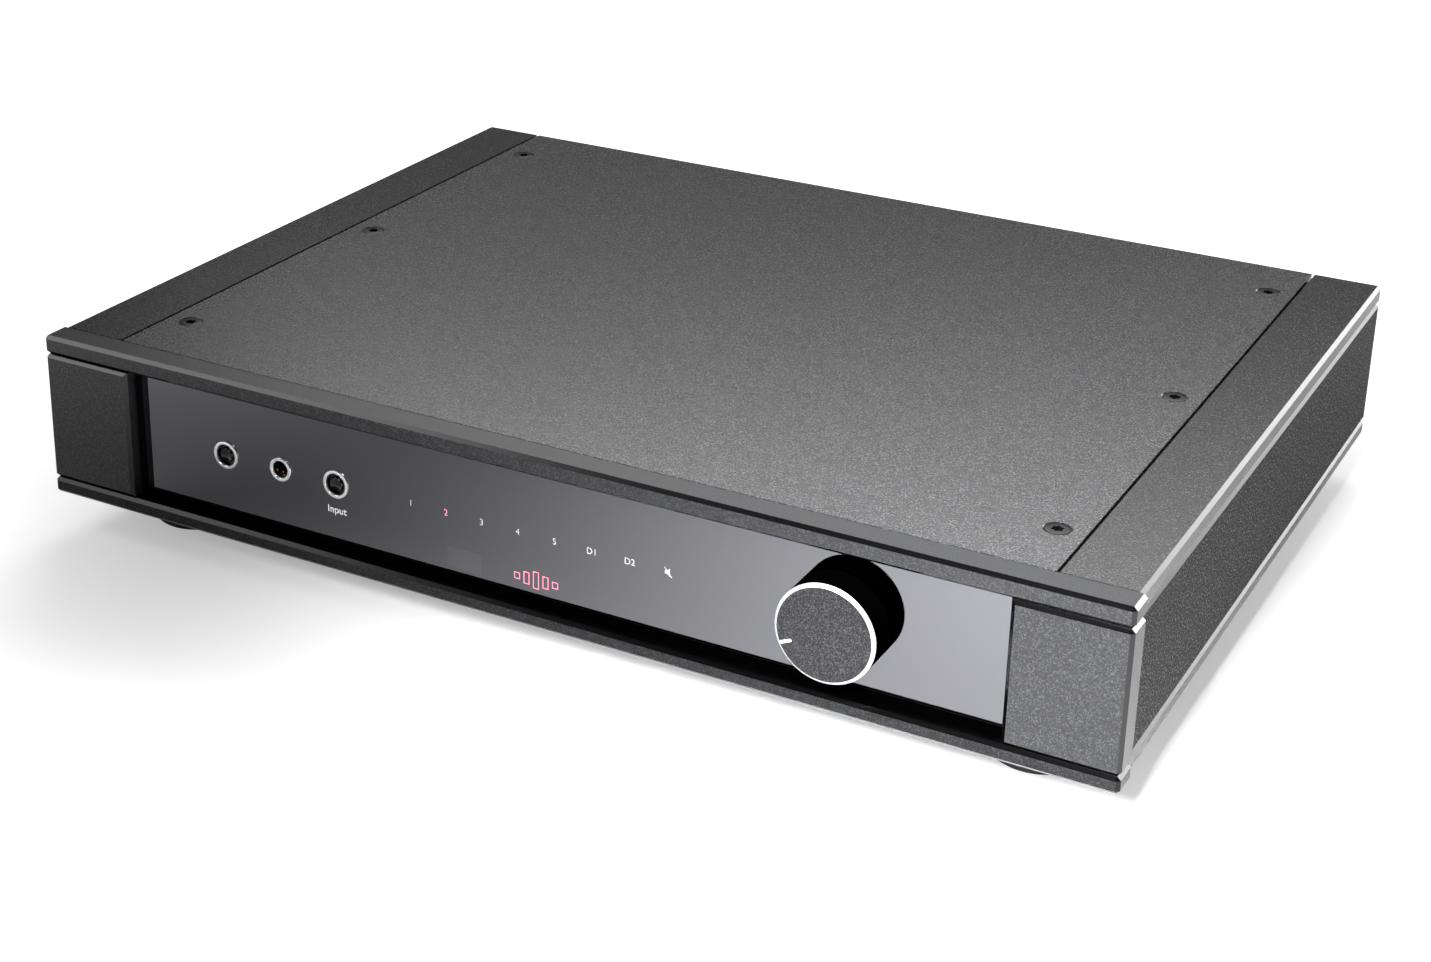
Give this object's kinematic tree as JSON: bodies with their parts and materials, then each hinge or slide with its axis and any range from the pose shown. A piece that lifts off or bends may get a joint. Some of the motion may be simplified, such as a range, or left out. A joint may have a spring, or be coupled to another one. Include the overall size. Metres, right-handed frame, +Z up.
{
  "type": "stereo amplifier",
  "caption": "Slim black stereo amplifier with a turning volume knob, push buttons, headphone socket, rear sockets and screw-down speaker terminals.",
  "frame": {"origin": "on the standing surface, under the middle of the overall box", "axes": "+X to the right seen from the front, +Y to the back, +Z up"},
  "size_m": [0.432, 0.34, 0.082],
  "materials": {
    "black_aluminium": "bead blasted and black anodised",
    "black_steel": "black powder coat",
    "black_screw": "black zinc",
    "bright_steel": "zinc plated",
    "fascia_acrylic": "clear acrylic, black behind",
    "foot_rubber": "matt",
    "polished_chrome": "polished",
    "button_black": "satin",
    "black_plastic": "moulded",
    "red_plastic": "moulded",
    "cap_black": "moulded",
    "white_plastic": "moulded",
    "plated_brass": "gold plated",
    "board_green": "solder mask",
    "winding_tape": "yellow winding tape over copper and iron",
    "capacitor_sleeve": "shrink sleeve",
    "heatsink_aluminium": "black anodised",
    "ribbon_grey": "pvc",
    "indicator_led": "diffused lens"
  },
  "bodies": {
    "chassis": {"base_plate": "black_steel", "board_standoffs": "bright_steel", "button_rings": "polished_chrome", "fascia": "fascia_acrylic", "feet": "foot_rubber", "foot_screws": "black_screw", "front_board": "board_green", "front_sill": "black_aluminium", "front_subpanel": "black_steel", "front_visor": "black_aluminium", "headphone_ring": "polished_chrome", "headphone_socket": "black_plastic", "heatsink": "heatsink_aluminium", "indicator_leds": "indicator_led", "infrared_receiver": "black_plastic", "left_bottom_rail": "black_aluminium", "left_front_post": "black_aluminium", "left_side_panel": "black_aluminium", "left_top_rail": "black_aluminium", "lid_screws": "black_screw", "main_board": "board_green", "mains_inlet": "black_plastic", "mains_pins": "plated_brass", "optical_housing": "black_plastic", "output_transistors": "black_plastic", "panel_nuts": "bright_steel", "push_switches": "black_plastic", "rca_block": "black_plastic", "rca_insulators": "white_plastic", "rca_shells": "polished_chrome", "rear_panel": "black_steel", "rear_screws": "black_screw", "reservoir_capacitors": "capacitor_sleeve", "ribbon_cable": "ribbon_grey", "right_bottom_rail": "black_aluminium", "right_front_post": "black_aluminium", "right_side_panel": "black_aluminium", "right_top_rail": "black_aluminium", "terminal_bases": "black_plastic", "terminal_studs": "plated_brass", "top_lid": "black_aluminium", "toroidal_transformer": "winding_tape", "transformer_bolt": "bright_steel", "transformer_dish": "bright_steel", "transformer_pads": "foot_rubber", "volume_pot": "black_plastic"},
    "volume": {"volume_knob": "black_aluminium", "volume_shaft": "bright_steel"},
    "power_button": {"power_button": "button_black"},
    "input_button": {"input_button": "button_black"},
    "fuse_drawer": {"fuse_drawer": "black_plastic"},
    "optical_shutter": {"optical_shutter": "black_plastic"},
    "terminal_washer_1": {"terminal_washer_1": "plated_brass"},
    "terminal_cap_1": {"terminal_cap_1": "cap_black"},
    "terminal_washer_2": {"terminal_washer_2": "plated_brass"},
    "terminal_cap_2": {"terminal_cap_2": "red_plastic"},
    "terminal_washer_3": {"terminal_washer_3": "plated_brass"},
    "terminal_cap_3": {"terminal_cap_3": "cap_black"},
    "terminal_washer_4": {"terminal_washer_4": "plated_brass"},
    "terminal_cap_4": {"terminal_cap_4": "red_plastic"}
  },
  "joints": [
    {"name": "volume_turn", "type": "hinge", "parent": "chassis", "child": "volume", "pos_m": [0.1163, -0.16, 0.0478], "axis": [0, 1, 0], "range_deg": [-36, 264]},
    {"name": "power_press", "type": "slide", "parent": "chassis", "child": "power_button", "axis": [0, 1, 0], "range_m": [0, 0.0015], "stiffness_N_per_m": 800, "springref_m": -0.001},
    {"name": "input_press", "type": "slide", "parent": "chassis", "child": "input_button", "axis": [0, 1, 0], "range_m": [0, 0.0015], "stiffness_N_per_m": 800, "springref_m": -0.001},
    {"name": "fuse_drawer_slide", "type": "slide", "parent": "chassis", "child": "fuse_drawer", "axis": [0, 1, 0], "range_m": [0, 0.018]},
    {"name": "optical_shutter_hinge", "type": "hinge", "parent": "chassis", "child": "optical_shutter", "pos_m": [0.136, 0.1557, 0.05985], "axis": [-1, 0, 0], "range_deg": [0, 80], "stiffness_Nm_per_rad": 0.001, "springref_deg": -28.65},
    {"name": "terminal_washer_1_slide", "type": "slide", "parent": "chassis", "child": "terminal_washer_1", "axis": [0, 1, 0], "range_m": [0, 0.005]},
    {"name": "terminal_cap_1_turn", "type": "hinge", "parent": "terminal_washer_1", "child": "terminal_cap_1", "pos_m": [-0.095, 0.16, 0.037], "axis": [0, 1, 0], "range_deg": [0, 1440]},
    {"name": "terminal_washer_2_slide", "type": "slide", "parent": "chassis", "child": "terminal_washer_2", "axis": [0, 1, 0], "range_m": [0, 0.005]},
    {"name": "terminal_cap_2_turn", "type": "hinge", "parent": "terminal_washer_2", "child": "terminal_cap_2", "pos_m": [-0.095, 0.16, 0.057], "axis": [0, 1, 0], "range_deg": [0, 1440]},
    {"name": "terminal_washer_3_slide", "type": "slide", "parent": "chassis", "child": "terminal_washer_3", "axis": [0, 1, 0], "range_m": [0, 0.005]},
    {"name": "terminal_cap_3_turn", "type": "hinge", "parent": "terminal_washer_3", "child": "terminal_cap_3", "pos_m": [-0.058, 0.16, 0.037], "axis": [0, 1, 0], "range_deg": [0, 1440]},
    {"name": "terminal_washer_4_slide", "type": "slide", "parent": "chassis", "child": "terminal_washer_4", "axis": [0, 1, 0], "range_m": [0, 0.005]},
    {"name": "terminal_cap_4_turn", "type": "hinge", "parent": "terminal_washer_4", "child": "terminal_cap_4", "pos_m": [-0.058, 0.16, 0.057], "axis": [0, 1, 0], "range_deg": [0, 1440]}
  ],
  "couplings": [
    {"joint": "terminal_cap_1_turn", "follows": "terminal_washer_1_slide", "rad_per_m": 5026.5},
    {"joint": "terminal_cap_2_turn", "follows": "terminal_washer_2_slide", "rad_per_m": 5026.5},
    {"joint": "terminal_cap_3_turn", "follows": "terminal_washer_3_slide", "rad_per_m": 5026.5},
    {"joint": "terminal_cap_4_turn", "follows": "terminal_washer_4_slide", "rad_per_m": 5026.5}
  ]
}
